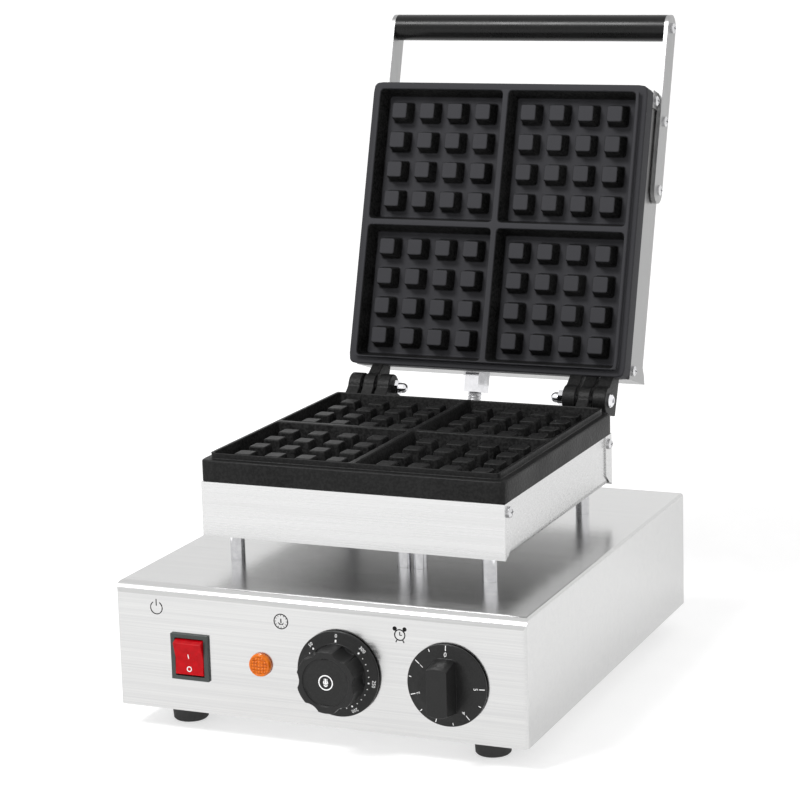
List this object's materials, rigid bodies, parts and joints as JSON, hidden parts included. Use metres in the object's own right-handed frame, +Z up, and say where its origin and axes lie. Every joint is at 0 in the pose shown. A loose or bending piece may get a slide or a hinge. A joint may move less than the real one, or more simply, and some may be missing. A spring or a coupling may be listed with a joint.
{
  "type": "waffle maker",
  "caption": "Countertop waffle maker: steel housing with rocker switch, lamp, thermostat and timer knobs; square non-stick plates in a box on posts and a hinged lid with a bar handle.",
  "frame": {"origin": "centre of the bounding box, on the floor the feet stand on, with the lid open", "axes": "+X to the right as seen from the control panel, +Y from the control panel to the back, +Z up"},
  "size_m": [0.29, 0.4492, 0.4471],
  "materials": {
    "housing_steel": "brushed stainless sheet, fine grain, slightly glossy",
    "box_steel": "satin stainless sheet",
    "chromed_steel": "bright plated",
    "screw_steel": "bright zinc plated",
    "nonstick_casting": "black non-stick coating with a fine cast texture",
    "foot_rubber": "matte black",
    "knob_plastic": "satin black",
    "handle_plastic": "semi-gloss black",
    "switch_plastic": "satin dark grey",
    "rocker_plastic": "translucent red",
    "lamp_plastic": "translucent orange",
    "control_steel": "plain zinc plated",
    "copper": "drawn copper",
    "terminal_plastic": "ivory",
    "element_sheath": "dark oxidised sheath",
    "mineral_wool": "fibrous",
    "hose_steel": "corrugated flexible metal hose"
  },
  "bodies": {
    "base": {"base_shell": "housing_steel", "back_panel": "housing_steel", "back_panel_screws": "screw_steel", "bottom_plate": "housing_steel", "bottom_plate_screws": "screw_steel", "feet": "foot_rubber", "foot_screws": "screw_steel", "support_posts": "chromed_steel", "base_post_bolts": "screw_steel", "box_post_bolts": "screw_steel", "wire_tubes": "chromed_steel", "wire_tube_nuts": "screw_steel", "cable_gland": "knob_plastic", "cable_gland_nut": "knob_plastic", "terminal_block": "terminal_plastic", "switch_housing": "switch_plastic", "lamp_lens": "lamp_plastic", "lamp_body": "switch_plastic", "lamp_nut": "switch_plastic", "thermostat_body": "control_steel", "thermostat_bulb": "copper", "timer_body": "control_steel", "control_screws": "screw_steel", "lower_tray": "box_steel", "lower_front_panel": "box_steel", "lower_rear_panel": "box_steel", "lower_panel_screws": "screw_steel", "lower_waffle_plate": "nonstick_casting", "lower_plate_screws": "screw_steel", "lower_heating_element": "element_sheath", "lower_heater_clamp": "control_steel", "lower_clamp_screws": "screw_steel", "lower_insulation": "mineral_wool", "left_hinge_bolt": "chromed_steel", "left_dome_nut": "chromed_steel", "lower_conduit_fitting": "chromed_steel", "wiring_conduit": "hose_steel"},
    "lid": {"upper_tray": "box_steel", "upper_front_panel": "box_steel", "upper_rear_panel": "box_steel", "upper_panel_screws": "screw_steel", "upper_waffle_plate": "nonstick_casting", "upper_plate_screws": "screw_steel", "upper_heating_element": "element_sheath", "upper_heater_clamp": "control_steel", "upper_clamp_screws": "screw_steel", "upper_insulation": "mineral_wool", "upper_conduit_fitting": "chromed_steel", "right_hinge_bolt": "chromed_steel", "right_dome_nut": "chromed_steel", "left_handle_arm": "box_steel", "right_handle_arm": "box_steel", "arm_screws": "screw_steel", "handle_grip": "handle_plastic", "grip_screws": "screw_steel"},
    "thermostat_knob": {"thermostat_knob": "knob_plastic", "thermostat_shaft": "control_steel"},
    "timer_knob": {"timer_knob": "knob_plastic", "timer_shaft": "control_steel"},
    "switch_rocker": {"switch_rocker": "rocker_plastic"}
  },
  "joints": [
    {"name": "lid_hinge", "type": "hinge", "parent": "base", "child": "lid", "pos_m": [0, 0.09026, 0.1766], "axis": [1, 0, 0], "range_deg": [0, 107.2], "deforming": ["wiring_conduit"]},
    {"name": "thermostat_turn", "type": "hinge", "parent": "base", "child": "thermostat_knob", "pos_m": [0.0165, -0.20264, 0.0535], "axis": [0, 1, 0], "range_deg": [0, 315]},
    {"name": "timer_turn", "type": "hinge", "parent": "base", "child": "timer_knob", "pos_m": [0.092, -0.20264, 0.0535], "axis": [0, 1, 0], "range_deg": [0, 270], "stiffness_Nm_per_rad": 0.01},
    {"name": "switch_rock", "type": "hinge", "parent": "base", "child": "switch_rocker", "pos_m": [-0.091, -0.20064, 0.0535], "axis": [1, 0, 0], "range_deg": [-14, 0]}
  ]
}
